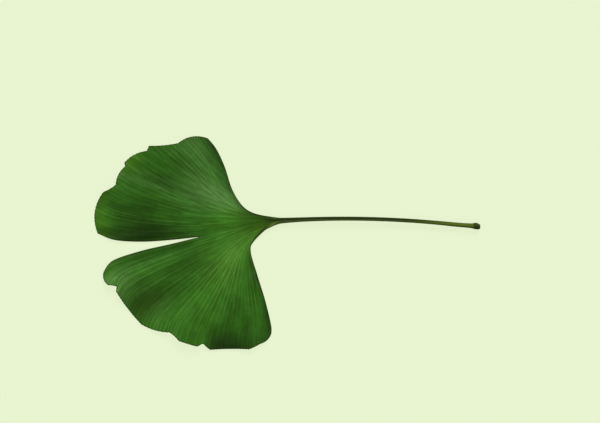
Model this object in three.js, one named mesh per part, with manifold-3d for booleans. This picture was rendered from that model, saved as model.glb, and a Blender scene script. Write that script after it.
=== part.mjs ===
// A ginkgo leaf, picked and lying on its underside on a flat surface.
//
// The leaf grew as one piece, so it is one solid: a thin fan-shaped blade, split by a deep
// cleft into two lobes, and the stalk (petiole) that it narrows into. Millimetres, +Z up.
// The leaf is laid out about the point where the blade leaves its stalk: the stalk runs
// along +X, the blade opens towards -X, and the longer lobe is on the +Y side. At the end
// the leaf is shifted so that the middle of its footprint is the origin.

import * as THREE from 'three';
import { mergeVertices } from 'three/addons/utils/BufferGeometryUtils.js';
import Module from 'manifold-3d';

const wasm = await Module();
wasm.setup();

// Driving dimensions, mm and degrees -------------------------------------------------------

const BLADE_THICKNESS = 0.4;
const MESH_CELL = 2.5;          // spacing of the blade's facets
const CURVE_STEPS = 4;          // facets along each curved stretch of the margin

const STALK_LENGTH = 74.2;      // from the blade's base to the scar at the stalk's foot
const STALK_ROOT = 9.5;         // how far the stalk runs on into the blade as a low rib
const STALK_SIDES = 12;
const STALK_STEPS = 48;
const STALK_OFFSET = -0.2;      // how far the stalk lies to the side of the blade's base
const STALK_BOW = 0.0014;       // sideways bow, mm per mm squared
const STALK_BOW_CENTRE = 27;    // where the bowed stalk runs straight along X
const FOOT_TURN = 0.35;         // how far the foot turns back from the bow
const FOOT_TURN_START = 64;
const FOOT_TURN_END = 76;
const STALK_ARCH = 0.5;         // rise of the stalk's middle off the surface
const FOOT_RADIUS = 1.15;       // the swollen foot, which rests on the surface

const BASE_LIFT = 0.75;         // underside of the blade where the stalk holds it up
const BASE_SPREAD = 7;          // distance over which it comes down to the surface
const PLEAT_START = 12;         // distance from the base where the pleats begin
const PLEAT_END = 62;           // and where they reach their full height
const SETTLE = 0.45;            // what lies lower than this is pressed flat on the surface
const SOFTEN = 0.6;             // how gently a pleat rises from the flat

// Radial pleats: direction in degrees from the blade's middle line (positive towards the
// longer lobe), half-width in degrees, and height at the rim.
const PLEATS = [
  { at: 39, spread: 10, height: 3.0 },
  { at: 11, spread: 9, height: 3.2 },
  { at: -25, spread: 7, height: 2.9 },
  { at: -56, spread: 11, height: 3.3 },
  { at: -85, spread: 9, height: 2.5 },
];

// The margin, in the order a finger would follow it round from the stalk. A side margin or
// a cleft edge is one smooth sweep. The outer rim of a lobe is a row of shallow scallops,
// each given by its far end and by how far it bulges past the straight line.
const LONG_LOBE_SIDE = [
  [4.2, 0.1], [-1.2, 0.55], [-5.4, 1.8], [-9.25, 4.7],
  [-12.6, 10.3], [-15.1, 17.9], [-18, 24.1], [-21, 27.9],
];
const LONG_LOBE_RIM = [
  { to: [-31.5, 26.2], bulge: 1.5 },
  { to: [-41.6, 25.3], bulge: -0.3 },
  { to: [-42.4, 23.5], bulge: 0 },
  { to: [-50.3, 19.3], bulge: 0.9 },
  { to: [-49.9, 18.2], bulge: 0 },
  { to: [-53.2, 11.7], bulge: 0.75 },
  { to: [-57.4, 9.2], bulge: -0.25 },
  { to: [-59.6, -5.4], bulge: 2.1 },
];
const CLEFT_LONG_EDGE = [
  [-59.6, -5.4], [-53.6, -7.7], [-44.2, -8.3], [-34.2, -7.7], [-24, -6.6],
];
const CLEFT_SHORT_EDGE = [
  [-24, -6.6], [-34.2, -9.1], [-44.2, -11.4], [-54.2, -14.8], [-57.5, -18.8],
];
const SHORT_LOBE_RIM = [
  { to: [-55.7, -23.5], bulge: 0.9 },
  { to: [-52.8, -24], bulge: -0.2 },
  { to: [-53.1, -25.5], bulge: 0 },
  { to: [-44.3, -37.2], bulge: 0.5 },
  { to: [-34.4, -40], bulge: 0.7 },
  { to: [-31.2, -42.9], bulge: -0.2 },
  { to: [-24.7, -44.9], bulge: 0.1 },
  { to: [-22.7, -43.9], bulge: 0 },
  { to: [-20.2, -46.1], bulge: 0.1 },
  { to: [-6.6, -45.9], bulge: -0.2 },
  { to: [-2.7, -44], bulge: 0.1 },
  { to: [1.2, -40.4], bulge: 0.7 },
];
const SHORT_LOBE_SIDE = [
  [1.2, -40.4], [1.1, -37.4], [-0.9, -29], [-3.55, -20.4], [-6, -11.8],
  [-5, -7.8], [-1, -3.75], [1.2, -2.78], [2.9, -2.24], [4.2, -1.98],
];

// Stalk: [distance from the blade's base, radius]. It is a low rib inside the blade, widest
// where the blade's two side margins run into it, slender on the way and swollen at the foot.
const STALK_PROFILE = [
  [-8, 0.18], [-4, 0.42], [0, 0.76], [4.2, 1.04], [5.4, 0.965], [8, 0.865], [11.4, 0.79],
  [14, 0.76], [24, 0.71], [40, 0.69], [56, 0.69], [64, 0.74], [69, 0.78], [71, 0.85],
  [71.9, 1], [72.6, FOOT_RADIUS], [73.4, 1.05],
];

// Joining and cutting ----------------------------------------------------------------------

function solidOf(geometry) {
  const bare = geometry.clone();
  bare.deleteAttribute('normal');
  bare.deleteAttribute('uv');
  const merged = mergeVertices(bare, 1e-5);
  return new wasm.Manifold(new wasm.Mesh({
    numProp: 3,
    vertProperties: Float32Array.from(merged.attributes.position.array),
    triVerts: Uint32Array.from(merged.index.array),
  }));
}

function geometryOf(solid) {
  const mesh = solid.getMesh();
  const geometry = new THREE.BufferGeometry();
  geometry.setAttribute('position', new THREE.BufferAttribute(mesh.vertProperties, 3));
  geometry.setIndex(new THREE.BufferAttribute(mesh.triVerts, 1));
  geometry.computeVertexNormals();
  return geometry;
}

// Blade ------------------------------------------------------------------------------------

// Height of the blade's underside above the surface, at a point about the blade's base.
function liftAt(x, y) {
  const reach = Math.hypot(x, y);
  const direction = THREE.MathUtils.radToDeg(Math.atan2(y, -x));
  const growth = THREE.MathUtils.smoothstep(reach, PLEAT_START, PLEAT_END);
  let pleated = -SETTLE;
  for (const pleat of PLEATS) {
    pleated += growth * pleat.height * Math.exp(-(((direction - pleat.at) / pleat.spread) ** 2));
  }
  const raised = pleated > 0 ? pleated ** 2 / (pleated + SOFTEN) : 0;
  return raised + BASE_LIFT * Math.exp(-((reach / BASE_SPREAD) ** 2));
}

function sweepAlong(outline, points) {
  outline.splineThru(points.slice(1).map(([x, y]) => new THREE.Vector2(x, y)));
}

function scallopAlong(outline, start, rim) {
  let [fromX, fromY] = start;
  for (const { to: [toX, toY], bulge } of rim) {
    const chord = Math.hypot(toX - fromX, toY - fromY);
    const outX = (toY - fromY) / chord;
    const outY = (fromX - toX) / chord;
    const controlX = (fromX + toX) / 2 + 2 * bulge * outX;
    const controlY = (fromY + toY) / 2 + 2 * bulge * outY;
    outline.quadraticCurveTo(controlX, controlY, toX, toY);
    [fromX, fromY] = [toX, toY];
  }
}

function leafOutline() {
  const outline = new THREE.Shape();
  outline.moveTo(...LONG_LOBE_SIDE[0]);
  sweepAlong(outline, LONG_LOBE_SIDE);
  scallopAlong(outline, LONG_LOBE_SIDE.at(-1), LONG_LOBE_RIM);
  sweepAlong(outline, CLEFT_LONG_EDGE);
  sweepAlong(outline, CLEFT_SHORT_EDGE);
  scallopAlong(outline, CLEFT_SHORT_EDGE.at(-1), SHORT_LOBE_RIM);
  sweepAlong(outline, SHORT_LOBE_SIDE);
  outline.closePath();
  return outline;
}

// The pleated sheet is as large as the leaf's outline and a little more. The outline, stood
// up as a prism, then cuts the blade out of it.
function bladeSolid() {
  const outline = leafOutline();
  const reach = new THREE.Box2().setFromPoints(outline.getPoints(CURVE_STEPS)).expandByScalar(1);
  const size = reach.getSize(new THREE.Vector2());
  const middle = reach.getCenter(new THREE.Vector2());

  const sheet = new THREE.BoxGeometry(
    size.x, size.y, BLADE_THICKNESS,
    Math.round(size.x / MESH_CELL), Math.round(size.y / MESH_CELL), 1,
  );
  sheet.translate(middle.x, middle.y, BLADE_THICKNESS / 2);
  const points = sheet.attributes.position;
  for (let i = 0; i < points.count; i += 1) {
    points.setZ(i, points.getZ(i) + liftAt(points.getX(i), points.getY(i)));
  }

  const prism = new THREE.ExtrudeGeometry(outline, {
    depth: 12, bevelEnabled: false, curveSegments: CURVE_STEPS,
  });
  prism.translate(0, 0, -3);
  return solidOf(sheet).intersect(solidOf(prism));
}

// Stalk ------------------------------------------------------------------------------------

// Middle of the stalk at a distance along it. Inside the blade it keeps to the middle of the
// blade's thickness; outside it runs level to its foot, with a slight bow and arch.
function stalkCentre(along) {
  const turn = FOOT_TURN * THREE.MathUtils.smoothstep(along, FOOT_TURN_START, FOOT_TURN_END);
  const y = STALK_OFFSET - STALK_BOW * (along - STALK_BOW_CENTRE) ** 2 + turn;
  if (along <= 0) {
    return new THREE.Vector3(along, y, liftAt(along, y) + BLADE_THICKNESS / 2);
  }
  const start = stalkCentre(0).z;
  const share = along / STALK_LENGTH;
  const arch = STALK_ARCH * Math.sin(Math.PI * share);
  return new THREE.Vector3(along, y, THREE.MathUtils.lerp(start, FOOT_RADIUS, share) + arch);
}

function stalkSolid() {
  const profile = new THREE.SplineCurve(STALK_PROFILE.map(([s, r]) => new THREE.Vector2(r, s)));
  const silhouette = [
    new THREE.Vector2(0, -STALK_ROOT),
    ...profile.getPoints(STALK_STEPS),
    new THREE.Vector2(0, STALK_LENGTH),
  ];
  const stalk = new THREE.LatheGeometry(silhouette, STALK_SIDES);
  const points = stalk.attributes.position;
  for (let i = 0; i < points.count; i += 1) {
    const centre = stalkCentre(points.getY(i));
    points.setXYZ(i, centre.x, centre.y - points.getX(i), centre.z + points.getZ(i));
  }
  return solidOf(stalk);
}

// Leaf -------------------------------------------------------------------------------------

const leafTissue = new THREE.MeshStandardMaterial({
  name: 'leaf_tissue', color: 0x376020, roughness: 0.5, metalness: 0,
});

const ginkgoLeaf = new THREE.Mesh(geometryOf(bladeSolid().add(stalkSolid())), leafTissue);
ginkgoLeaf.name = 'ginkgo_leaf';

const leaf = new THREE.Group();
leaf.add(ginkgoLeaf);

const footprint = new THREE.Box3().setFromObject(leaf);
const middle = footprint.getCenter(new THREE.Vector3());
leaf.position.set(-middle.x, -middle.y, -footprint.min.z);

export default leaf;
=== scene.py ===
# %% [markdown]
# # A ginkgo leaf, picked and laid on a table
#
# A ginkgo leaf is one piece of living tissue: a thin fan of a blade, split by a deep cleft
# into two lobes, and the slender stalk that it narrows into. What makes it a ginkgo is its
# veins. A few strands leave the stalk and fork in two again and again on their way to the
# rim, and they never join up into a net. So everything here is laid out along the veins:
# one number says which vein a point is on, the other how far out along it the point lies.
# The shape, the fine ridges and the colours all read those two numbers.

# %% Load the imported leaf
import math

import bpy
import numpy as np
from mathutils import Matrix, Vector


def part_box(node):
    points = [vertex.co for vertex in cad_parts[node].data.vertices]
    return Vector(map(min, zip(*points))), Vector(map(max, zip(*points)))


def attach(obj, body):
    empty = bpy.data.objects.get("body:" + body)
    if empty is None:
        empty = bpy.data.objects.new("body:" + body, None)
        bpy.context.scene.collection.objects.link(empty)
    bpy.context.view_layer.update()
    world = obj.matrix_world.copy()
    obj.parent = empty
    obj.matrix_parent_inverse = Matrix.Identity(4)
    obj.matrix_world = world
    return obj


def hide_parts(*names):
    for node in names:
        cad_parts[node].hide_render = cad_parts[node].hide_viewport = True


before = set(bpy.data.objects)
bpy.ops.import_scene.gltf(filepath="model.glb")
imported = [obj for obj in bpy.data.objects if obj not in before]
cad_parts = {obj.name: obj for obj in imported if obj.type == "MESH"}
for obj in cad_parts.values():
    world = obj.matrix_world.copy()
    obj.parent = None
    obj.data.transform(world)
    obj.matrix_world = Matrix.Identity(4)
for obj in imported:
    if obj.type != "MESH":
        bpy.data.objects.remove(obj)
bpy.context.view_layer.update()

MM = 0.001                      # Blender works in metres, the leaf is described in mm
leaf_low, leaf_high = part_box("ginkgo_leaf")
print("packed leaf, mm:", [round(size / MM, 1) for size in leaf_high - leaf_low])

# %% [markdown]
# ## The camera
#
# The leaf is seen from straight above, as a botanist lays out a specimen. A long lens from
# about a metre away draws it without perspective, so that its outline is its true shape.
# The view is 210 mm wide, with the leaf a little left of and below its middle.

# %% Where the leaf's base is, and the camera above it
STALK_LENGTH = 74.2             # from the blade's base to the end of the stalk's foot
FOOT_OF_BLADE = 46.1            # from the blade's base to the shorter lobe's far corner
base_x = leaf_high.x / MM - STALK_LENGTH
base_y = leaf_low.y / MM + FOOT_OF_BLADE

VIEW_WIDTH = 210
LENS = 180
SENSOR = 36
VIEW_CENTRE = (11.2, 2.3)       # from the blade's base


def in_scene(name, data):
    """Puts a mesh, a lamp or a camera into the scene as an object."""
    made = bpy.data.objects.new(name, data)
    bpy.context.collection.objects.link(made)
    return made


view = bpy.data.cameras.new("camera")
view.lens = LENS
view.sensor_width = SENSOR
camera = in_scene("camera", view)
camera.location = (
    (base_x + VIEW_CENTRE[0]) * MM,
    (base_y + VIEW_CENTRE[1]) * MM,
    VIEW_WIDTH * MM * LENS / SENSOR,
)
bpy.context.scene.camera = camera
print("camera height, m:", round(camera.location.z, 3))

# %% [markdown]
# ## The leaf's outline
#
# The margin has three kinds of stretch. The two side margins and the two edges of the cleft
# are smooth sweeps. The outer rim of each lobe is a row of shallow scallops, each with a
# small step or notch where it meets the next. The stations below are the same as the ones
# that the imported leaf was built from, in mm from the point where blade and stalk meet.

# %% Stations of the margin
LONG_LOBE_SIDE = [
    (4.2, 0.1), (-1.2, 0.55), (-5.4, 1.8), (-9.25, 4.7),
    (-12.6, 10.3), (-15.1, 17.9), (-18, 24.1), (-21, 27.9),
]
LONG_LOBE_RIM = [               # far end of each scallop, and how far it bulges
    (-31.5, 26.2, 1.5), (-41.6, 25.3, -0.3), (-42.4, 23.5, 0), (-50.3, 19.3, 0.9),
    (-49.9, 18.2, 0), (-53.2, 11.7, 0.75), (-57.4, 9.2, -0.25), (-59.6, -5.4, 2.1),
]
CLEFT_LONG_EDGE = [(-24, -6.6), (-34.2, -7.7), (-44.2, -8.3), (-53.6, -7.7), (-59.6, -5.4)]
CLEFT_SHORT_EDGE = [(-24, -6.6), (-34.2, -9.1), (-44.2, -11.4), (-54.2, -14.8), (-57.5, -18.8)]
SHORT_LOBE_RIM = [
    (-55.7, -23.5, 0.9), (-52.8, -24, -0.2), (-53.1, -25.5, 0), (-44.3, -37.2, 0.5),
    (-34.4, -40, 0.7), (-31.2, -42.9, -0.2), (-24.7, -44.9, 0.1), (-22.7, -43.9, 0),
    (-20.2, -46.1, 0.1), (-6.6, -45.9, -0.2), (-2.7, -44, 0.1), (1.2, -40.4, 0.7),
]
SHORT_LOBE_SIDE = [
    (4.2, -1.98), (2.9, -2.24), (1.2, -2.78), (-1, -3.75), (-5, -7.8),
    (-6, -11.8), (-3.55, -20.4), (-0.9, -29), (1.1, -37.4), (1.2, -40.4),
]
MIDDLE_LINE = [(4.2, -0.94), (-2, -1.4), (-12, -3.5), (-24, -6.6)]


# %% Lines through the stations
def smoothstep(low, high, x):
    """0 below low, 1 above high, and 3 t squared less 2 t cubed at a share t between them."""
    t = np.clip((x - low) / (high - low), 0, 1)
    return t * t * (3 - 2 * t)


def bell(away, width):
    """1 where away is 0, and beside that e to the power of less the square of away / width."""
    return np.exp(-((away / width) ** 2))


def swept(stations, steps=40):
    """A smooth line through the stations: between two of them, the cubic whose slope at each
    is half the way from the station before it to the one after it."""
    p = np.array(stations, float)
    p = np.vstack([p[:1], p, p[-1:]])
    before, start, end, after = p[:-3], p[1:-2], p[2:-1], p[3:]
    t = np.linspace(0, 1, steps, endpoint=False)[:, None, None]
    line = start + (end - before) / 2 * t
    line = line + (2 * before - 5 * start + 4 * end - after) / 2 * t**2
    line = line + (3 * start - before - 3 * end + after) / 2 * t**3
    return np.vstack([line.transpose(1, 0, 2).reshape(-1, p.shape[1]), p[-1:]])


def scalloped(start, scallops, steps=40):
    """A row of arcs. Each is the quadratic curve from one notch to the next, with its middle
    pushed out from the straight line by the bulge."""
    table = np.array(scallops, float)
    ends, bulge = table[:, :2], table[:, 2:]
    starts = np.vstack([start, ends[:-1]])
    chord = ends - starts
    outward = np.stack([chord[:, 1], -chord[:, 0]], 1) / np.hypot(*chord.T)[:, None]
    control = (starts + ends) / 2 + 2 * bulge * outward
    t = np.linspace(0, 1, steps, endpoint=False)[:, None, None]
    line = (1 - t) ** 2 * starts + 2 * t * (1 - t) * control + t**2 * ends
    return np.vstack([line.transpose(1, 0, 2).reshape(-1, 2), ends[-1:]])


def length_along(line):
    """How far along a line of points each of its points is."""
    steps = np.linalg.norm(np.diff(line, axis=0), axis=1)
    return np.concatenate([[0], np.cumsum(steps)])


def as_function(share, line):
    """Makes a line of points a function of a share that goes from 0 to 1 along it."""
    return lambda t: np.stack([np.interp(t, share, axis) for axis in line.T], -1)


def by_share(line):
    """The same, with the share of the line's length."""
    return as_function(length_along(line) / length_along(line)[-1], line)


long_rim_line = scalloped(LONG_LOBE_SIDE[-1], LONG_LOBE_RIM)
short_rim_line = scalloped(CLEFT_SHORT_EDGE[-1], SHORT_LOBE_RIM)
margin_line = np.vstack([
    swept(LONG_LOBE_SIDE), long_rim_line, swept(CLEFT_LONG_EDGE)[::-1],
    swept(CLEFT_SHORT_EDGE), short_rim_line, swept(SHORT_LOBE_SIDE)[::-1],
])
print("margin, mm:", round(length_along(margin_line)[-1]))

# %% [markdown]
# ## A net that follows the veins
#
# A square grid cut to the leaf's outline would run across the veins. Instead each lobe is a
# patch stretched between its four sides: its side margin, the leaf's middle line with one
# edge of the cleft, the narrow neck at the stalk, and the rim. Such a blend of four curves
# is called a Coons patch. Its lines run out from the neck and spread towards the rim, as
# the veins do. The rim's small notches are kept out of the blend and added close to the
# rim only, so that they don't put kinks into the veins.

# %% The two lobes as patches
CLEFT_HEAD = 0.45               # share of the way out at which the cleft begins
RIM_SAMPLES = 1025
RIM_BLUR = 0.045                # the rim is smoothed over this share of itself
RIM_CORNER = 0.06               # the share at each end where notches and teeth fade away
NOTCH_DEPTH = 14                # how quickly a notch fades inwards: the power of the share
TOOTH_HEIGHT = 0.05             # of the rim's fine teeth, mm


def cleft_side(edge):
    """The side of a lobe by the cleft: along the middle line as far as the cleft's head, and
    then along the cleft's edge."""
    middle, cleft = by_share(swept(MIDDLE_LINE)), by_share(swept(edge))
    return lambda v: np.where(
        (v < CLEFT_HEAD)[..., None],
        middle(np.clip(v / CLEFT_HEAD, 0, 1)),
        cleft(np.clip((v - CLEFT_HEAD) / (1 - CLEFT_HEAD), 0, 1)),
    )


def rim_of(line):
    """The rim as two functions of the share of its angle about the base: its smooth run, and
    how far its notches and fine teeth stand in or out from that."""
    direction = np.degrees(np.arctan2(line[:, 1], -line[:, 0]))
    first, last = direction[0], direction[-1]
    share = (direction - first) / (last - first)
    a = np.linspace(0, 1, RIM_SAMPLES)
    reach = np.interp(a, share, np.hypot(*line.T))
    wide = int(3 * RIM_BLUR * RIM_SAMPLES)
    weight = bell(np.arange(-wide, wide + 1), RIM_BLUR * RIM_SAMPLES)
    padded = np.pad(reach, wide, "reflect", reflect_type="odd")
    blurred = np.convolve(padded, weight / weight.sum(), "valid")
    inside = smoothstep(0, RIM_CORNER, a) * smoothstep(0, RIM_CORNER, 1 - a)
    notches = inside * (reach - blurred)
    smooth = reach - notches
    turn = np.radians(first + (last - first) * a)
    outward = np.stack([-np.cos(turn), np.sin(turn)], -1)
    teeth = np.sin(9 * np.degrees(turn)) + np.sin(5.3 * np.degrees(turn) + 1)
    notches = notches + TOOTH_HEIGHT * inside * teeth
    return tuple(as_function(a, size[:, None] * outward) for size in (smooth, notches))


def neck(u):
    """The line across the leaf where blade and stalk meet, spaced like the shadow of points
    evenly round a circle, because the stalk's section there is an ellipse."""
    top, bottom = np.array(LONG_LOBE_SIDE[0]), np.array(SHORT_LOBE_SIDE[0])
    return (top + bottom) / 2 + np.cos(np.pi * u)[..., None] * (top - bottom) / 2


LOBES = [
    (by_share(swept(LONG_LOBE_SIDE)), cleft_side(CLEFT_LONG_EDGE), *rim_of(long_rim_line)),
    (cleft_side(CLEFT_SHORT_EDGE), by_share(swept(SHORT_LOBE_SIDE)), *rim_of(short_rim_line)),
]


def lobe_plan(lobe, a, v):
    """Where a point of a lobe lies, seen from above. a runs across the lobe and v out along
    it. It is the blend across of the two sides, plus the blend outwards of neck and rim, less
    the blend of the four corners, which both hold; the notches come on close to the rim."""
    left, right, rim, notches = LOBES[lobe]
    across, out = a[..., None], v[..., None]
    start, end = np.zeros_like(a), np.ones_like(a)
    half = lobe / 2
    sides = (1 - across) * left(v) + across * right(v)
    ends = (1 - out) * neck(half + a / 2) + out * rim(a)
    inner = (1 - across) * neck(half + start / 2) + across * neck(half + end / 2)
    outer = (1 - across) * rim(start) + across * rim(end)
    corners = (1 - out) * inner + out * outer
    return sides + ends - corners + notches(a) * out**NOTCH_DEPTH


def plan(lobe, a, v):
    """lobe_plan for points of both lobes at once."""
    return np.where((lobe == 0)[..., None], lobe_plan(0, a, v), lobe_plan(1, a, v))


NUDGE = 0.002


def spread(lobe, a, v):
    """How many mm the leaf spans for each unit of a, measured square to the veins: the area
    between a small step across and a small step out, over the length of the step out."""
    low, high = np.clip(a - NUDGE, 0, 1), np.clip(a + NUDGE, 0, 1)
    across = (plan(lobe, high, v) - plan(lobe, low, v)) / (high - low)[..., None]
    out = plan(lobe, a, np.clip(v + NUDGE, 0, 1)) - plan(lobe, a, np.clip(v - NUDGE, 0, 1))
    area = across[..., 0] * out[..., 1] - across[..., 1] * out[..., 0]
    return np.abs(area) / np.linalg.norm(out, axis=-1)


probe = np.linspace(0, 1, 400)
for lobe, name in enumerate(("longer", "shorter")):
    row = lobe_plan(lobe, probe, np.full(400, 1.0))
    print(f"rim of the {name} lobe, mm:", round(length_along(row)[-1]))

# %% [markdown]
# ## The forking veins
#
# Two strands run up the stalk, and each has forked once by the time it enters a lobe. From
# there every vein keeps on until its neighbours are too far off, forks in two, and the two
# halves part until they are evenly spaced again. On a real leaf that keeps about one vein to
# each millimetre, from the base to the rim. The same rule is worked out here for all points
# of the skin together: going down through the generations, a point takes the branch on its
# own side of each fork, and the fork's opening says how far that branch has moved over.

# %% Distance to the nearest vein
FIRST_VEINS = 2                 # in each lobe, where it leaves the stalk
GENERATIONS = 6
WIDEST_GAP = 1.3                # mm between two veins when they fork
FORK_LENGTH = 0.85              # how much wider the fan grows while a fork opens, in doublings
FORK_SCATTER = 0.8              # how unevenly the forks come, in doublings
FIRST_STRENGTH = 0.8
STRENGTH_SCATTER = 0.7          # how much a branch may differ in strength from its parent
WEAKEST = 0.3
JUST_UNDER_1 = 0.99999          # keeps the end of a row in the last cell
BRANCH_SEED = 20                # keeps the strengths apart from the lengths
MIXING = (0.618034, 0.37, 0.754878, 13.7, 97.3)


def chance(cell, lobe, seed):
    """A number from -0.5 to 0.5 that looks random but is the same each time: the part after
    the point of a sum of multiples, and again of a square of that, less a half."""
    by_cell, by_lobe, by_seed, once, squared = MIXING
    first = cell * by_cell + lobe * by_lobe + seed * by_seed
    first = first - np.floor(first)
    second = first * (once + squared * first)
    return second - np.floor(second) - 0.5


def vein_at(lobe, a, spread_here, half_width):
    """A vein's strength on its crest, falling off beside it as a bell curve of the distance."""
    doublings = np.log2(np.maximum(spread_here, 0.01))
    count = FIRST_VEINS
    inside = np.clip(a, 0, JUST_UNDER_1)
    cell = np.floor(inside * count)
    centre = (cell + 0.5) / count
    strength = FIRST_STRENGTH
    for generation in range(GENERATIONS):
        child = np.floor(inside * 2 * count)
        turn = (child - 2 * cell) * 0.5 / count - 0.25 / count
        past = doublings - math.log2(count * WIDEST_GAP)
        past = past + FORK_SCATTER * chance(cell, lobe, generation)
        opened = smoothstep(0, FORK_LENGTH, past)
        centre = centre + turn * opened
        change = STRENGTH_SCATTER * chance(child, lobe, generation + BRANCH_SEED)
        strength = strength + change * opened
        cell, count = child, 2 * count
    return np.clip(strength, WEAKEST, 1) * bell((a - centre) * spread_here, half_width)


for lobe, name in enumerate(("longer", "shorter")):
    fine, lobes = np.linspace(0, 1, 9000), np.full(9000, lobe)
    for v in (0.1, 0.4, 0.97):
        wide = spread(lobes, fine, np.full(9000, v))
        on_vein = vein_at(lobes, fine, wide, 0.1) > 0.15
        found = int((np.diff(on_vein.astype(int)) == 1).sum())
        print(f"veins of the {name} lobe {v:.0%} of the way out: {found}")

# %% [markdown]
# ## How the blade lies
#
# A fan this thin never lies quite flat. It touches the table round the head of the cleft,
# where it is stiffest, and rises towards the rim in a few shallow radial pleats. That is
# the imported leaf's shape as well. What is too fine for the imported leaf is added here: the
# rim's crinkle, the soft corrugation between the larger veins, and the stalk's low rib
# where it runs on into the blade.

# %% Height of the blade
BLADE_THICKNESS = 0.4
BASE_LIFT = 0.75                # underside of the blade where the stalk holds it up
BASE_SPREAD = 7                 # distance over which it comes down to the table
PLEAT_START = 12                # distance from the base where the pleats begin
PLEAT_END = 62                  # and where they reach their full height
SETTLE = 0.45                   # what lies lower than this is pressed flat on the table
SOFTEN = 0.6                    # how gently a pleat rises from the flat
PLEATS = [                      # direction, half-width (degrees), height at the rim (mm)
    (39, 10, 3.0), (11, 9, 3.2), (-25, 7, 2.9), (-56, 11, 3.3), (-85, 9, 2.5),
]
CRINKLE = 0.09                  # a quarter of the height of the rim's highest waves, mm
CRINKLE_WIDTH = 2.5             # how far in from the rim they are felt, mm


def polar(x, y):
    """Distance from the base, and direction in degrees from the leaf's middle line."""
    return np.hypot(np.minimum(x, 0), y), np.degrees(np.arctan2(y, -x))


def lift_at(x, y):
    """Height of the underside: a sum of bell-shaped ridges that grow outwards, less what
    settles flat, with a soft corner between the two; and a low mound where the stalk is."""
    reach, direction = polar(x, y)
    growth = smoothstep(PLEAT_START, PLEAT_END, reach)
    pleated = np.full_like(reach, -SETTLE)
    for at, wide, height in PLEATS:
        pleated += growth * height * bell(direction - at, wide)
    above = np.maximum(pleated, 0)
    return above**2 / (above + SOFTEN) + BASE_LIFT * bell(reach, BASE_SPREAD)


def crinkle_at(x, y, inwards):
    """Small waves that run along the margin: two sines of the direction, raised so that they
    never dip below the sheet, which die away with the distance from the margin."""
    _, direction = polar(x, y)
    wave = 2 + np.sin(1.35 * direction) + np.sin(0.83 * direction + 2)
    far_out = smoothstep(25, 50, np.hypot(x, y))
    return CRINKLE * wave * np.exp(-inwards / CRINKLE_WIDTH) * far_out


# %% [markdown]
# ## The stalk
#
# The stalk is a profile carried along a path. It is widest where the blade's side margins
# run into it, slender for most of its length, and swells into the foot that sat on the
# twig. A shallow groove runs along its upper side. Its foot ends in a corky scar.

# %% Profile and path of the stalk
NECK_AT = 4.2                   # where the stalk ends and the blade begins
STALK_OFFSET = -0.2             # how far the stalk lies to the side of the blade's base
STALK_BOW = 0.0014              # sideways bow, mm per mm squared
STALK_BOW_CENTRE = 27           # where the bowed stalk runs straight
FOOT_TURN = 0.35                # how far the foot turns back from the bow
FOOT_TURN_RANGE = (64, 76)
STALK_ARCH = 0.5                # rise of the stalk's middle off the table
FOOT_RADIUS = 1.15
STALK_FLATNESS = 0.92           # the section is a little wider than it is high
GROOVE_DEPTH = 0.2              # as a share of the radius
GROOVE_AT = 0.42                # as shares of the way over the section
GROOVE_WIDTH = 0.12
STALK_RIB = 0.012               # height of its fine ribs, as a share of the radius
CORK_LUMPS = (0.04, 0.025, 0.02)    # and of the three waves in the cork
STALK_PROFILE = [               # distance from the blade's base, radius
    (4.2, 1.04), (5.4, 0.965), (8, 0.865), (11.4, 0.79), (14, 0.76), (24, 0.71), (40, 0.69),
    (56, 0.69), (64, 0.74), (69, 0.78), (71, 0.85), (71.9, 1.0), (72.6, FOOT_RADIUS),
    (73.4, 1.05), (73.95, 0.85), (74.2, 0.6), (74.1, 0.3), (74.05, 0.08),
]


def stalk_centre(s):
    """The middle of the stalk: bowed sideways as a parabola that the foot turns back from, and
    level from the blade to the foot but for half a sine wave of arch."""
    share = np.clip(s, 0, None) / STALK_LENGTH
    start = BASE_LIFT + BLADE_THICKNESS / 2
    y = STALK_OFFSET - STALK_BOW * (s - STALK_BOW_CENTRE) ** 2
    y = y + FOOT_TURN * smoothstep(*FOOT_TURN_RANGE, s)
    z = start + (FOOT_RADIUS - start) * share + STALK_ARCH * np.sin(np.pi * share)
    return y, z


def section_height(u, radius, grooved):
    """How far the stalk's skin stands off its middle: the height of an ellipse at the angle
    pi u, less a bell-shaped groove where it is grooved."""
    groove = GROOVE_DEPTH * bell(u - GROOVE_AT, GROOVE_WIDTH)
    return radius * (STALK_FLATNESS * np.sin(np.pi * u) - groove * grooved)


def stalk_surface(u, s, radius, side):
    """A point of the stalk's skin. u goes over the section from its +Y side to its -Y side,
    on top for side 0 and underneath for side 1: the ellipse with its groove, with low ribs
    along it, and with three waves, two of them round it, where the foot is corky."""
    y, z = stalk_centre(s)
    up = np.where(side == 0, 1, -1)
    turn = np.pi * u * up
    slender = 1 - smoothstep(58, 70, s)
    ribs = STALK_RIB * np.cos(14 * turn) * slender
    lumps = np.stack([
        np.sin(3 * turn + 2.1 * s), np.cos(7 * turn + 1.3 * s), np.sin(15 * s),
    ], -1) @ CORK_LUMPS
    size = radius * (1 + ribs + lumps * smoothstep(71, 73, s))
    height = section_height(u, size, (side == 0) * slender)
    return np.stack([s, y + size * np.cos(turn), z + up * height], -1)


# %% [markdown]
# ## One closed skin
#
# Upper skin, underside and stalk are one mesh. Each row of the net goes once across the
# leaf. It starts with 12 steps to a lobe at the foot and has twice as many each time that
# the steps grow too long, just as the veins double. Upper skin and underside share their
# points along the margin, the lobes share theirs as far as the cleft's head, and the foot
# is closed by one small face, so the skin has no gap.

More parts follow.
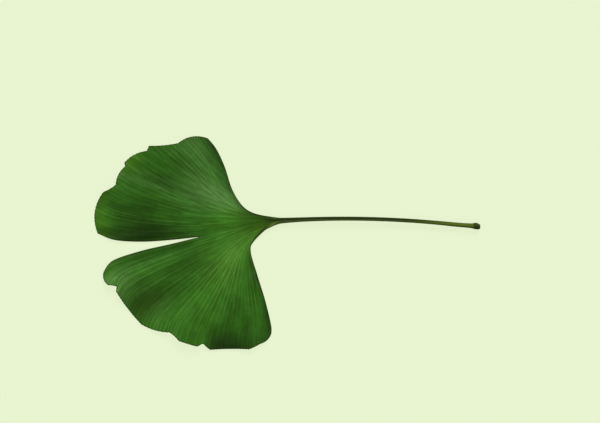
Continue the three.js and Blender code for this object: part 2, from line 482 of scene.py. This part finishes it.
# %% Rows and columns of the net
FIRST_COLUMNS = 12              # across one lobe, at the stalk
LONGEST_STEP = 0.26             # mm between two columns before they double
STALK_ROWS = 140
TOWARDS_FOOT, TOWARDS_RIM = 1.8, 1.2    # powers above 1 crowd the rows towards that end
INNER_ROWS = 40                 # from the neck to the cleft's head
OUTER_ROWS = 50                 # from there to the rim

evenly = np.linspace(0, 1, STALK_ROWS)
stalk_rows = by_share(swept(STALK_PROFILE))(1 - (1 - evenly) ** TOWARDS_FOOT)[:0:-1]
inner = np.linspace(0, CLEFT_HEAD, INNER_ROWS, endpoint=False)
outer = 1 - (1 - CLEFT_HEAD) * (1 - np.linspace(0, 1, OUTER_ROWS)) ** TOWARDS_RIM
blade_rows = np.concatenate([inner, outer])
neck_row = len(stalk_rows)
head_row = neck_row + INNER_ROWS
last_row = neck_row + len(blade_rows) - 1

row_length = np.array([
    max(length_along(lobe_plan(lobe, probe, np.full(400, v)))[-1] for lobe in (0, 1))
    for v in blade_rows
])
doubled = np.ceil(np.log2(np.maximum(row_length / FIRST_COLUMNS / LONGEST_STEP, 1)))
doubled = np.maximum.accumulate(doubled).astype(int)
doubled = np.minimum(doubled, doubled[0] + np.arange(len(doubled)))
columns = np.concatenate([np.full(neck_row, FIRST_COLUMNS), FIRST_COLUMNS * 2**doubled])
print("columns of a lobe, from the stalk to the rim:", sorted(set(columns.tolist())))


# %% Number the points of the net
def addresses(row, lobe, side):
    """The addresses of a row's points: one for each point, though two sheets may share it."""
    across = columns[row]
    column = np.arange(across + 1)
    seam = (lobe == 1) & (column == 0) & (row <= head_row)
    lobe, column = np.where(seam, 0, lobe), np.where(seam, across, column)
    outer_edge = ((lobe == 0) & (column == 0)) | ((lobe == 1) & (column == across))
    cleft_edge = (row >= head_row) & np.where(lobe == 0, column == across, column == 0)
    on_margin = outer_edge | cleft_edge | (row == last_row)
    return np.stack([np.full_like(column, row), lobe, column, np.where(on_margin, 0, side)], -1)


sheets = [(lobe, side) for side in (0, 1) for lobe in (0, 1)]
every_row = [addresses(row, lobe, side) for lobe, side in sheets for row in range(last_row + 1)]
points, numbers = np.unique(np.concatenate(every_row), axis=0, return_inverse=True)
ends = np.cumsum([len(part) for part in every_row])
rows_of_numbers = np.split(numbers.ravel(), ends[:-1])
print("points:", len(points))


def strip(near, far, facing_up):
    """The faces between two rows: squares, or three triangles to a step where the far row
    has twice the columns."""
    if len(near) == len(far):
        faces = [np.stack([near[:-1], far[:-1], far[1:], near[1:]], 1)]
    else:
        left, middle, right = far[:-2:2], far[1::2], far[2::2]
        faces = [
            np.stack([near[:-1], left, middle], 1),
            np.stack([near[:-1], middle, near[1:]], 1),
            np.stack([near[1:], middle, right], 1),
        ]
    return [face if facing_up else face[:, ::-1] for face in faces]


faces, face_rows, face_sides = [], [], []
for sheet, (lobe, side) in enumerate(sheets):
    rows = rows_of_numbers[sheet * (last_row + 1):(sheet + 1) * (last_row + 1)]
    for row in range(last_row):
        for group in strip(rows[row], rows[row + 1], side == 0):
            faces += group.tolist()
            face_rows += [row] * len(group)
            face_sides += [side] * len(group)
top_of_foot = np.concatenate([rows_of_numbers[0], rows_of_numbers[last_row + 1][1:]])
under_foot = np.concatenate([
    rows_of_numbers[2 * (last_row + 1)], rows_of_numbers[3 * (last_row + 1)][1:]
])
faces.append(np.concatenate([top_of_foot, under_foot[-2:0:-1]]).tolist())
face_rows.append(0)
face_sides.append(0)
print("faces:", len(faces), "triangles:", sum(len(face) - 2 for face in faces))

# %% Where each point lies in plan
VEIN_RIB_WIDTH = 0.22           # half-width of the rib that a vein makes in the skin, mm
row, lobe, column, side = points.T
a = column / columns[row]
u = (lobe + a) / 2
on_blade = row >= neck_row
v = np.where(on_blade, blade_rows[np.clip(row - neck_row, 0, None)], 0.0)
stalk_row = stalk_rows[np.clip(row, 0, neck_row - 1)]
s, radius = np.where(on_blade, NECK_AT, stalk_row[:, 0]), stalk_row[:, 1]
xy = plan(lobe, a, v)
x, y = xy.T


def to_margin(xy, batch=4000):
    """Distance from each point to the nearest point of the margin."""
    line = margin_line[:-1:2]
    nearest = [
        np.sqrt(((part[:, None, :] - line[None]) ** 2).sum(-1).min(1))
        for part in np.array_split(xy, max(1, len(xy) // batch))
    ]
    return np.concatenate(nearest)


inwards = on_blade * to_margin(xy)
vein_spread = np.where(on_blade, spread(lobe, a, v), 1.0)
vein = on_blade * vein_at(lobe, a, vein_spread, VEIN_RIB_WIDTH)
off_side = np.linalg.norm(xy - plan(lobe, lobe.astype(float), v), axis=-1)
print("widest half of the blade, mm:", round(float(inwards.max()), 1))

# %% [markdown]
# ## Thickness
#
# The blade is 0.4 mm thick on its veins and a little less between them, and its margin is
# rounded. The outermost vein of each lobe keeps to the side margin and thickens it as far as
# the vein is stout. At the neck the same net is the stalk's ellipse. Over the first few mm one
# turns into the other, and the stalk's rib fades away along the middle line.

# %% Put the skin at its height
VEIN_RIB = 0.03                 # how far a vein's rib stands up on each face, mm
SIDE_RIB = 0.14                 # the same for the rib along a side margin
SIDE_RIB_IN = 0.65              # how far in from the margin its crest lies, mm
SIDE_RIB_WIDTH = 0.34
ROUNDED_EDGE = 0.25             # width of the margin's rounding, mm
NECK_LENGTH = 0.17              # share of the way out in which the ellipse flattens
RIB_END = 0.22                  # and in which the stalk's rib has sunk into the blade
RIB_WIDTH = 0.9
RIB_ABOVE = 0.16                # height of the rib on the upper skin, mm
RIB_BELOW = 0.5                 # and on the underside
TROUGH_SPACING = 4.5            # degrees between the soft corrugations
TROUGH_DEPTH = 0.05             # mm

reach, direction = polar(x, y)
edge = np.sqrt(1 - (1 - np.clip(inwards / ROUNDED_EDGE, 0, 1)) ** 2)
stout = 1 - smoothstep(6, 46, reach)
side_rib = bell(off_side - SIDE_RIB_IN, SIDE_RIB_WIDTH) * stout
half_blade = BLADE_THICKNESS / 2 - VEIN_RIB * (1 - vein)
flattened = smoothstep(0, NECK_LENGTH, v)
half_blade = edge * (half_blade + SIDE_RIB * side_rib * flattened)
off_line = np.linalg.norm(xy - plan(np.zeros_like(lobe), np.ones_like(a), v), axis=-1)
rib = bell(off_line, RIB_WIDTH) * (1 - smoothstep(0.02, RIB_END, v)) * edge
half = half_blade + rib * np.where(side == 0, RIB_ABOVE, RIB_BELOW)
neck_height = section_height(u, STALK_PROFILE[0][1], side == 0)
half = (1 - flattened) * neck_height + flattened * half

_, neck_z = stalk_centre(NECK_AT)
corrugation = TROUGH_DEPTH * np.sin(2 * np.pi * direction / TROUGH_SPACING)
corrugation = corrugation * smoothstep(8, 30, reach)
middle = lift_at(x, y) + BLADE_THICKNESS / 2 + crinkle_at(x, y, inwards)
middle = middle + (neck_z - BASE_LIFT - BLADE_THICKNESS / 2) * smoothstep(0, NECK_AT, x)
up = np.where(side == 0, 1, -1)
z = np.maximum(middle + up * half + corrugation * edge * (side == 0), 0)

blade_points = np.stack([x, y, z], -1)
leaf_points = np.where(on_blade[:, None], blade_points, stalk_surface(u, s, radius, side))
placed = (leaf_points + (base_x, base_y, 0)) * MM
print("leaf, mm:", np.round((placed.max(0) - placed.min(0)) / MM, 1))

# %% Make the mesh
skin = bpy.data.meshes.new("leaf")
skin.from_pydata(placed, [], faces)
skin.update()
skin.polygons.foreach_set("use_smooth", np.ones(len(skin.polygons), bool))
leaf = in_scene("leaf", skin)


def closed_volume(points, faces):
    """Volume inside a closed skin: the sum over its triangles of a sixth of the product of
    their corners. It comes out below 0 if the faces point inwards."""
    triangles = np.array([
        (face[0], face[i], face[i + 1]) for face in faces for i in range(1, len(face) - 1)
    ])
    first, second, third = (points[triangles[:, corner]] for corner in range(3))
    return np.einsum("ij,ij->i", first, np.cross(second, third)).sum() / 6


print("volume, mm3:", round(closed_volume(leaf_points, faces)))

# %% [markdown]
# ## What the material needs to know
#
# The finish follows the leaf's anatomy, so each point of the skin carries a few numbers: how
# far the fan has spread there, how far in from the margin it is, whether it is stalk or
# blade, upper skin or underside. Three more are patches of the upper skin, each spreading
# along the veins: where the leaf has begun to turn yellow, which is its own tone; how much
# lighter or darker it is, partly its own tone and partly painted light and shade that stands
# in for the slopes of the pleats; and a pale painted sheen where the waxy skin would catch
# the light.

# %% Patches of the upper skin
# Distance from the base (mm), direction (degrees), how far the patch spreads each way, and
# then how much lighter it is (in doublings), partly its own tone and partly painted light and
# shade from the slopes of the pleats, how far it has turned yellow, and its painted sheen, a
# pale grey-green that stands in for the soft glint of the waxy skin.
PATCHES = [
    (45, -8, 12, 6, -1.9, 0.2, 0),
    (46, 2, 8, 6, -0.4, 0, 0),
    (38, 11, 6, 3, 0.4, 0, 0),
    (40, 21, 9, 9, -0.55, 0.05, 0),
    (54, 25, 5, 7, 0.2, 0.5, 0),
    (59, 1, 4, 7, 0.3, 0.3, 0),
    (60, 11, 4, 4, -0.6, 0.3, 0),
    (33, -5, 8, 6, -0.35, 0, 0),
    (20, 24, 12, 14, 0.1, 0, 0.2),
    (36, 17, 9, 6, -0.2, 0, 0),
    (36, 44, 10, 8, -0.1, 0, 0.1),
    (28, 55, 14, 5, -0.8, 0, 0),
    (15, 2, 7, 16, 0.3, 0, 0),
    (4, 22, 5, 36, -0.5, 0, 0),
    (14, -8, 8, 10, 0.3, 0, 0),
    (13, 16, 5, 16, 0.3, 0, 0),
    (7, -62, 4, 20, 0.5, 0, 0),
    (16, -46, 12, 18, 0.35, 0.25, 0.05),
    (31, -51, 12, 8, 0.3, 0, 0),
    (40, -16, 12, 5, -0.55, 0, 0),
    (58, -24, 6, 6, 0.4, 0, 0.1),
    (51, -34, 11, 5, -1.15, 0.25, 0),
    (38, -38, 9, 5, -0.2, 0, 0),
    (49, -74, 7, 11, -2.5, 0.2, 0),
    (46, -60, 9, 5, 0.5, 0, 0),
    (53, -62, 5, 4, 0.45, 0, 0),
    (50, -40, 6, 4, 0.4, 0, 0.05),
    (38, -93, 17, 7, -1.05, 0.12, 0),
    (43, -94, 6, 4, -0.5, 0.2, 0),
]


def patched(reach, direction, which):
    """The patches added up: each is a bell shape in distance and in direction."""
    total = np.zeros_like(reach)
    for patch in PATCHES:
        at, towards, length, width = patch[:4]
        total = total + patch[which] * bell(reach - at, length) * bell(direction - towards, width)
    return total


# %% Numbers for the material
NECK_SHADE, NECK_SHADE_WIDTH = 1.3, 1.7     # doublings darker, and mm in from the margin
SIDE_SHADE, SIDE_SHADE_WIDTH = 0.9, 1.6
# The side margins are darker: the longer lobe's by the stalk, and both lobes' farther out.
by_stalk = (lobe == 0) * (1 - smoothstep(3, 17, reach))
farther_out = smoothstep(11, 19, reach) * (1 - smoothstep(30, 46, reach))
shade = NECK_SHADE * bell(off_side, NECK_SHADE_WIDTH) * by_stalk
shade = shade + SIDE_SHADE * bell(off_side, SIDE_SHADE_WIDTH) * farther_out
# The rib of each side margin is paler near the stalk, most on the shorter lobe.
pale_rib = np.where(lobe == 0, 0.3, 0.75) * smoothstep(0, 0.05, v)
pale_rib = pale_rib * (1 - smoothstep(7, 18, reach))
measures = {
    "spread": vein_spread,
    "side_rib": on_blade * side_rib * pale_rib,
    "inwards": inwards,
    "underside": side == 1,
    "stalk": np.where(on_blade, 1 - smoothstep(0, 0.14, v), 1.0),
    "along": np.where(on_blade, -reach, s),
    # The patches' value with the margins' shade: partly the leaf's own tone, partly painted light
    # and shade.
    "lighter": 2 ** (on_blade * (patched(reach, direction, 4) - shade)),
    "yellower": on_blade * np.clip(patched(reach, direction, 5), 0, 1),
    # A pale painted sheen, standing in for a soft glint on the waxy skin.
    "painted_sheen": on_blade * np.clip(patched(reach, direction, 6), 0, 1),
}
for name, values in measures.items():
    layer = skin.attributes.new(name, "FLOAT", "POINT")
    layer.data.foreach_set("value", values.astype(np.float32))
print("measures:", ", ".join(measures))

# %% [markdown]
# ## Two ways to unroll the skin
#
# The first map has the vein lines as its grid: across the leaf one way, out along it the
# other. Fine streaks drawn on it run with the veins. The second spreads the whole skin out
# flat without overlaps, for a picture of the finish: upper skin and underside side by side,
# the stalk in two strips above them, and the scar as a small disc.

# %% Vein-line map and flat map
corner_points = np.empty(len(skin.loops), np.int32)
skin.loops.foreach_get("vertex_index", corner_points)
corners_each = np.array([len(face) for face in faces])
corner_row = np.repeat(face_rows, corners_each)
corner_side = np.repeat(face_sides, corners_each)
corner_u, corner_v, corner_s = u[corner_points], v[corner_points], s[corner_points]
corner_x, corner_y, corner_z = leaf_points[corner_points].T

MARGIN, SHEET_WIDTH, SHEET_HEIGHT = 0.01, 0.47, 0.9      # as shares of the whole map
STRIP_AT, STRIP_STEP, STRIP_HEIGHT, STRIP_WIDTH = 0.93, 0.033, 0.028, 0.92
SCAR_AT, SCAR_SIZE = (0.97, 0.95), 0.015
BLADE_REACH = 60                # mm from neck to rim, which the vein map shows as 1


def put(layer, across, out):
    """Writes a map: one pair of numbers for each corner of each face."""
    layer.data.foreach_set("uv", np.stack([across, out], -1).astype(np.float32).ravel())


vein_map = skin.uv_layers.new(name="vein_lines")
is_stalk = corner_row < neck_row
put(vein_map, corner_u, np.where(is_stalk, (NECK_AT - corner_s) / BLADE_REACH, corner_v))
flat_map = skin.uv_layers.new(name="OFBake")
from_left = (corner_x - margin_line[:, 0].min()) / (NECK_AT - margin_line[:, 0].min())
from_bottom = (corner_y - margin_line[:, 1].min()) / np.ptp(margin_line[:, 1])
flat_x = MARGIN + corner_side / 2 + from_left * SHEET_WIDTH
flat_y = MARGIN + from_bottom * SHEET_HEIGHT
strip_x = MARGIN + STRIP_WIDTH * (corner_s - NECK_AT) / (STALK_LENGTH - NECK_AT)
strip_y = STRIP_AT + corner_side * STRIP_STEP + corner_u * STRIP_HEIGHT
flat_x, flat_y = np.where(is_stalk, strip_x, flat_x), np.where(is_stalk, strip_y, flat_y)
is_scar = np.arange(len(corner_points)) >= len(corner_points) - corners_each[-1]
scar_y, scar_z = stalk_centre(STALK_LENGTH)
flat_x = np.where(is_scar, SCAR_AT[0] + SCAR_SIZE * (corner_y - scar_y) / FOOT_RADIUS, flat_x)
flat_y = np.where(is_scar, SCAR_AT[1] + SCAR_SIZE * (corner_z - scar_z) / FOOT_RADIUS, flat_y)
put(flat_map, flat_x, flat_y)
vein_map.active = True
vein_map.active_render = True
print("flat map spans:", np.round([np.ptp(flat_x), np.ptp(flat_y)], 2))


# %% [markdown]
# ## Helpers for the materials

# %% Colours and a helper that adds nodes
def linear(code):
    """An sRGB hex code as linear red, green, blue and 1: each channel over 12.92 near black,
    and otherwise ((channel + 0.055) / 1.055) to the power 2.4."""
    channels = [int(code[i:i + 2], 16) / 255 for i in (1, 3, 5)]
    return [c / 12.92 if c <= 0.04045 else ((c + 0.055) / 1.055) ** 2.4 for c in channels] + [1]


def add(tree, kind, inputs=None, **settings):
    """Adds a node with its settings. An input is either another node's socket or a value."""
    made = tree.nodes.new("ShaderNode" + kind)
    for name, value in settings.items():
        setattr(made, name, value)
    for key, value in (inputs or {}).items():
        if isinstance(value, bpy.types.NodeSocket):
            tree.links.new(value, made.inputs[key])
        else:
            made.inputs[key].default_value = value
    return made


MIX_SHARE, MIX_FIRST, MIX_SECOND, MIX_RESULT = 0, 6, 7, 2   # a Mix node's colour sockets


def mixed(tree, share, first, second):
    """The colour a share of the way from the first to the second."""
    inputs = {MIX_SHARE: share, MIX_FIRST: first, MIX_SECOND: second}
    return add(tree, "Mix", inputs, data_type="RGBA").outputs[MIX_RESULT]


def measure(tree, name):
    """One of the numbers that the skin carries."""
    return add(tree, "Attribute", attribute_name=name).outputs["Fac"]


def ranged(tree, value, low, high, to_low=0.0, to_high=1.0):
    """Goes smoothly from to_low, where the value is low, to to_high, where it is high."""
    inputs = {"Value": value, "From Min": low, "From Max": high,
              "To Min": to_low, "To Max": to_high}
    return add(tree, "MapRange", inputs, interpolation_type="SMOOTHSTEP").outputs["Result"]


def maths(tree, how, first, second=0.0):
    """One step of arithmetic."""
    return add(tree, "Math", {0: first, 1: second}, operation=how).outputs[0]


def times(tree, first, second):
    """The product of two."""
    return maths(tree, "MULTIPLY", first, second)


def cloudy(tree, place, size, detail=2.0, stretch=(1, 1, 1)):
    """A cloudy pattern, about 0.3 to 0.7, whose clouds have a size in the units of place."""
    scaled = add(tree, "Mapping", {"Vector": place, "Scale": [k / size for k in stretch]})
    noise = {"Vector": scaled.outputs[0], "Scale": 1.0, "Detail": detail, "Roughness": 0.55}
    return add(tree, "TexNoise", noise).outputs["Fac"]


def by_stops(tree, value, stops):
    """A colour for each value, running between the stops."""
    ramp = add(tree, "ValToRGB", {"Fac": value})
    for _ in stops[2:]:
        ramp.color_ramp.elements.new(0.5)
    for element, (position, code) in zip(ramp.color_ramp.elements, stops):
        element.position = position
        element.color = linear(code)
    return ramp.outputs["Color"]


# %% [markdown]
# ## The veins again, as a pattern
#
# The mesh carries each vein as a low broad rib. Its colour and its fine crest are narrower
# than a face of the mesh, so the material works out the same forks by the same rule.

# %% The fork rule in nodes
VEIN_WIDTH = 0.11               # half-width of a vein's crest, mm


def leftover(tree, value):
    """The part of a number after its point."""
    return maths(tree, "SUBTRACT", value, maths(tree, "FLOOR", value))


def chance_nodes(tree, cell, lobe, seed):
    """chance() in nodes."""
    by_cell, by_lobe, by_seed, once, squared = MIXING
    start = maths(tree, "ADD", times(tree, lobe, by_lobe), seed * by_seed)
    first = leftover(tree, maths(tree, "ADD", times(tree, cell, by_cell), start))
    slope = maths(tree, "ADD", times(tree, first, squared), once)
    second = leftover(tree, times(tree, first, slope))
    return maths(tree, "SUBTRACT", second, 0.5)


def forking_veins(tree, lines):
    """vein_at() in nodes, for the blade only."""
    across = add(tree, "SeparateXYZ", {"Vector": lines}).outputs["X"]
    doubled = times(tree, across, 1 + JUST_UNDER_1)
    lobe = maths(tree, "FLOOR", doubled)
    a = maths(tree, "SUBTRACT", doubled, lobe)
    spread_here = measure(tree, "spread")
    doublings = maths(tree, "LOGARITHM", spread_here, 2.0)
    count = FIRST_VEINS
    cell = maths(tree, "FLOOR", times(tree, a, count))
    centre = maths(tree, "DIVIDE", maths(tree, "ADD", cell, 0.5), count)
    strength = FIRST_STRENGTH
    for generation in range(GENERATIONS):
        child = maths(tree, "FLOOR", times(tree, a, 2 * count))
        on_right = maths(tree, "SUBTRACT", child, times(tree, cell, 2))
        turn = times(tree, maths(tree, "SUBTRACT", on_right, 0.5), 0.5 / count)
        past = maths(tree, "SUBTRACT", doublings, math.log2(count * WIDEST_GAP))
        late = times(tree, chance_nodes(tree, cell, lobe, generation), FORK_SCATTER)
        opened = ranged(tree, maths(tree, "ADD", past, late), 0.0, FORK_LENGTH)
        centre = maths(tree, "ADD", centre, times(tree, turn, opened))
        change = chance_nodes(tree, child, lobe, generation + BRANCH_SEED)
        change = times(tree, change, STRENGTH_SCATTER)
        strength = maths(tree, "ADD", strength, times(tree, change, opened))
        cell, count = child, 2 * count
    away = times(tree, maths(tree, "SUBTRACT", a, centre), spread_here)
    away = maths(tree, "DIVIDE", away, VEIN_WIDTH)
    crest = maths(tree, "EXPONENT", times(tree, times(tree, away, away), -1))
    strength = add(tree, "Clamp", {"Value": strength, "Min": WEAKEST, "Max": 1.0}).outputs[0]
    on_blade = maths(tree, "SUBTRACT", 1.0, measure(tree, "stalk"))
    return times(tree, times(tree, crest, strength), on_blade)


print("half-width of a vein, mm:", VEIN_WIDTH)

# %% [markdown]
# ## Living leaf: waxy upper skin, matt underside, fibrous stalk, corky scar
#
# A fresh leaf is a sheet of green cells between two clear skins. The upper skin is waxed
# smooth, which dulls the deep green under it to a soft satin with hardly any glint. The
# cells give it a fine grain, the veins show through as slightly paler threads, and the
# margin, where the skins meet, dries to a thin brown line. The underside has air between
# its cells, so it is paler and matt. Towards the base the green gives way to olive, and the
# stalk is tough and has fine ribs; its colour is darker along both flanks and the groove,
# painted shade where the round stalk turns away from the light, and a paler band near the
# foot is partly a painted highlight. Where the leaf came off its twig a corky brown scar
# closed the wound.

# %% Leaf finish
DEEP_GREEN, FRESH_GREEN, VEIN_GREEN = "#264f0d", "#2f6217", "#66983e"
TURNING_GREEN, BASE_OLIVE, DRY_MARGIN = "#4b7710", "#33500c", "#2e2a0c"
# A pale grey-green painted sheen, standing in for a soft glint on the waxy skin.
PAINTED_SHEEN_GREEN = "#86ab6e"
SIDE_RIB_OLIVE = "#64853a"
VEIN_SHOWS = (0.14, 0.4)
FINE_RELIEF = 0.035             # height of what is finer than the mesh, mm
WAXY_ROUGHNESS, MATT_ROUGHNESS = (0.5, 0.6), 0.7
UNDER_GREEN, UNDER_VEIN, UNDER_VEIN_SHOWS = "#56793c", "#86a161", 0.55
# Across the stalk from its +Y flank to its -Y flank: the dark ends and the dark stop where the
# groove runs are painted shade, the paler stops between are the stalk's own green.
STALK_STOPS = [
    (0.0, "#0f1501"), (0.22, "#131c02"), (0.31, "#2e3b0f"), (0.42, "#0f1801"),
    (0.52, "#26320a"), (0.66, "#485924"), (0.82, "#1e2806"), (1.0, "#0f1501"),
]
# Across the stalk near the foot: a paler yellow-green band, partly the stalk's own colour and
# partly a painted highlight, between flanks darkened as painted shade.
FOOT_STOPS = [
    (0.0, "#283104"), (0.2, "#3e4b0d"), (0.42, "#57661b"), (0.62, "#4e5e11"),
    (0.8, "#2e3a07"), (1.0, "#141c02"),
]
CORK_DARK, CORK_LIGHT = "#0e1502", "#3c4518"


def upper_skin(tree, place, lines, vein, along):
    """The colour of the blade from above: two greens in clouds that run with the veins, paler
    threads on the veins, each patch's own tint, a painted sheen, and lighter and darker
    patches that are partly the leaf's own tone and partly painted light and shade."""
    mottle = cloudy(tree, lines, 1 / 16, stretch=(1, 0.3, 0))
    blotch = cloudy(tree, place, 2.2 * MM)
    streak = cloudy(tree, lines, 1 / 330, stretch=(1, 0.02, 0))
    fine_streak = cloudy(tree, lines, 1 / 800, stretch=(1, 0.02, 0))
    green = mixed(tree, ranged(tree, mottle, 0.32, 0.68), linear(DEEP_GREEN), linear(FRESH_GREEN))
    yellower = measure(tree, "yellower")
    green = mixed(tree, yellower, green, linear(TURNING_GREEN))
    sunk = cloudy(tree, lines, 1 / 12, stretch=(1, 0.25, 0))
    threads = times(tree, vein, ranged(tree, sunk, 0.35, 0.65, *VEIN_SHOWS))
    green = mixed(tree, threads, green, linear(VEIN_GREEN))
    # The painted sheen: pale grey-green laid on where the waxy skin would catch the light.
    green = mixed(tree, measure(tree, "painted_sheen"), green, linear(PAINTED_SHEEN_GREEN))
    green = mixed(tree, ranged(tree, along, -16, -3, 0.0, 0.6), green, linear(BASE_OLIVE))
    # Lighter and darker patches: partly the leaf's own tone, partly painted light and shade.
    value = measure(tree, "lighter")
    for pattern, change in ((streak, 0.07), (fine_streak, 0.1), (blotch, 0.06)):
        factor = ranged(tree, pattern, 0.3, 0.7, 1 - change, 1 + change)
        value = times(tree, value, factor)
    return add(tree, "HueSaturation", {"Color": green, "Value": value}).outputs["Color"]


def stalk_skin(tree, place, lines, along):
    """The stalk's colour: both flanks and the groove darkened as painted shade, where the round
    stalk turns away from the light, with paler green between them; towards the foot a
    yellow-green band that is partly its own colour and partly a painted highlight; fibres
    along it and speckled cork at its end."""
    across = add(tree, "SeparateXYZ", {"Vector": lines}).outputs["X"]
    # Bands across the stalk, with its flanks and groove darkened as painted shade.
    painted_shade_bands = by_stops(tree, across, STALK_STOPS)
    fibre = cloudy(tree, lines, 1 / 40, stretch=(1, 0.08, 0))
    by_foot = by_stops(tree, across, FOOT_STOPS)
    painted_shade_bands = mixed(tree, ranged(tree, along, 46, 69, 0.0, 0.9), painted_shade_bands, by_foot)
    grained = cloudy(tree, place, 0.35 * MM, detail=4, stretch=(2.2, 1, 1))
    cork = mixed(tree, ranged(tree, grained, 0.3, 0.7), linear(CORK_DARK), linear(CORK_LIGHT))
    painted_shade_bands = mixed(tree, ranged(tree, along, 71.2, 72.6), painted_shade_bands, cork)
    shade = ranged(tree, fibre, 0.3, 0.7, 0.75, 1.25)
    return add(tree, "HueSaturation", {"Color": painted_shade_bands, "Value": shade}).outputs["Color"]


def living_leaf():
    """The whole skin: the blade's two faces and the stalk, with the pale side ribs and the dry
    margin over them, and a fine relief of grain, folds and vein crests."""
    finish = bpy.data.materials.new("living_leaf")
    finish.use_nodes = True
    tree = finish.node_tree
    tree.nodes.clear()
    place = add(tree, "TexCoord").outputs["Object"]
    lines = add(tree, "UVMap", uv_map="vein_lines").outputs["UV"]
    inwards, along = measure(tree, "inwards"), measure(tree, "along")
    stalk, underside = measure(tree, "stalk"), measure(tree, "underside")
    vein = forking_veins(tree, lines)

    top = upper_skin(tree, place, lines, vein, along)
    pale = times(tree, vein, UNDER_VEIN_SHOWS)
    under = mixed(tree, pale, linear(UNDER_GREEN), linear(UNDER_VEIN))
    lamina = mixed(tree, underside, top, under)
    wavering = times(tree, cloudy(tree, place, 3 * MM), 0.65)
    dry = ranged(tree, maths(tree, "SUBTRACT", inwards, wavering), 0.08, -0.15, 0.0, 0.85)
    dry = times(tree, dry, ranged(tree, along, -1, -6))
    colour = mixed(tree, stalk, lamina, stalk_skin(tree, place, lines, along))
    colour = mixed(tree, measure(tree, "side_rib"), colour, linear(SIDE_RIB_OLIVE))
    colour = mixed(tree, dry, colour, linear(DRY_MARGIN))

    grain = times(tree, cloudy(tree, place, 0.3 * MM), 0.25)
    fold = cloudy(tree, lines, 1 / 200, stretch=(1, 0.04, 0))
    relief = maths(tree, "ADD", grain, fold)
    relief = maths(tree, "ADD", relief, times(tree, vein, 0.5))
    bump = add(tree, "Bump", {"Height": relief, "Strength": 1.0, "Distance": FINE_RELIEF * MM})
    waxy = ranged(tree, cloudy(tree, place, 4 * MM), 0.3, 0.7, *WAXY_ROUGHNESS)
    matt = maths(tree, "MAXIMUM", underside, times(tree, stalk, 0.6))
    rough = add(tree, "Mix", {0: matt, 2: waxy, 3: MATT_ROUGHNESS}, data_type="FLOAT").outputs[0]
    shader = add(tree, "BsdfPrincipled", {
        "Base Color": colour, "Roughness": rough, "Normal": bump.outputs["Normal"],
        "IOR": 1.45, "Specular IOR Level": 0.09,
    })
    add(tree, "OutputMaterial", {"Surface": shader.outputs["BSDF"]})
    return finish


skin.materials.append(living_leaf())
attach(leaf, "root")
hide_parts("ginkgo_leaf")
print("finish:", skin.materials[0].name)

# %% [markdown]
# ## A pale light table
#
# Specimens are often laid on a lit sheet, so that the table throws hardly any shadow and
# the outline stands out clean. The sheet glows a little by itself and has no gloss. Far out
# it curves up all round, like the rim of a very shallow dish, so that no horizon shows.

# %% Table
FLOOR_HALF = 7.0                # m
FLOOR_FLAT = 2.5                # m from the middle; from there on the sheet curves up
FLOOR_RISE = 2.0
FLOOR_SIDES, FLOOR_RINGS = 96, 24
FLOOR_DROP = 0.05 * MM          # so that table and leaf don't share a plane
SHEET_GLOW = 0.93
SHEET_COLOUR = "#e8f4d0"
REFLECTED = 0.07                # share of its colour that the sheet owes to the lamps
glow = linear(SHEET_COLOUR)
lit_sheet = bpy.data.materials.new("lit_sheet")
lit_sheet.use_nodes = True
surface = lit_sheet.node_tree.nodes["Principled BSDF"]
sheet_finish = {
    "Base Color": [channel * REFLECTED for channel in glow[:3]] + [1],
    "Roughness": 0.9, "Specular IOR Level": 0.0,
    "Emission Color": glow, "Emission Strength": SHEET_GLOW,
}
for name, value in sheet_finish.items():
    surface.inputs[name].default_value = value
around = np.linspace(0, 2 * np.pi, FLOOR_SIDES, endpoint=False)
outwards = np.concatenate([[0.02], np.linspace(FLOOR_FLAT, FLOOR_HALF, FLOOR_RINGS)])
rise = FLOOR_RISE * smoothstep(FLOOR_FLAT, FLOOR_HALF, outwards) - FLOOR_DROP
floor_points = np.stack([
    np.outer(outwards, np.cos(around)), np.outer(outwards, np.sin(around)),
    np.repeat(rise[:, None], FLOOR_SIDES, axis=1),
], -1).reshape(-1, 3)
numbered = np.arange(len(floor_points)).reshape(len(outwards), FLOOR_SIDES)
following = np.roll(numbered, -1, axis=1)
rings = np.stack([numbered[:-1], numbered[1:], following[1:], following[:-1]], -1)
floor_faces = rings.reshape(-1, 4).tolist() + [numbered[0].tolist()]
floor_mesh = bpy.data.meshes.new("table")
floor_mesh.from_pydata(floor_points, [], floor_faces)
floor_mesh.update()
floor_mesh.polygons.foreach_set("use_smooth", np.ones(len(floor_faces), bool))
floor_mesh.materials.append(lit_sheet)
floor = in_scene("table", floor_mesh)
print("table, m across:", 2 * FLOOR_HALF)


# %% [markdown]
# ## Soft side light
#
# One broad lamp stands behind the longer lobe, low enough to model the pleats and far
# enough from overhead that no glare reaches the camera. A weak one opposite it fills in.

# %% Light
def lamp(name, azimuth, elevation, strength, softness):
    """A broad lamp far away. Azimuth is where it stands, in degrees from +X towards +Y."""
    light = bpy.data.lights.new(name, "SUN")
    light.energy = strength
    light.angle = math.radians(softness)
    holder = in_scene(name, light)
    holder.rotation_euler = (math.radians(90 - elevation), 0, math.radians(azimuth + 90))


lamp("key", 78, 36, 3.6, 24)
lamp("fill", -70, 40, 0.9, 50)

world = bpy.data.worlds.new("studio")
world.use_nodes = True
sky = world.node_tree.nodes["Background"]
sky.inputs["Color"].default_value = glow
sky.inputs["Strength"].default_value = 0.16
bpy.context.scene.world = world
bpy.context.scene.view_settings.view_transform = "Standard"
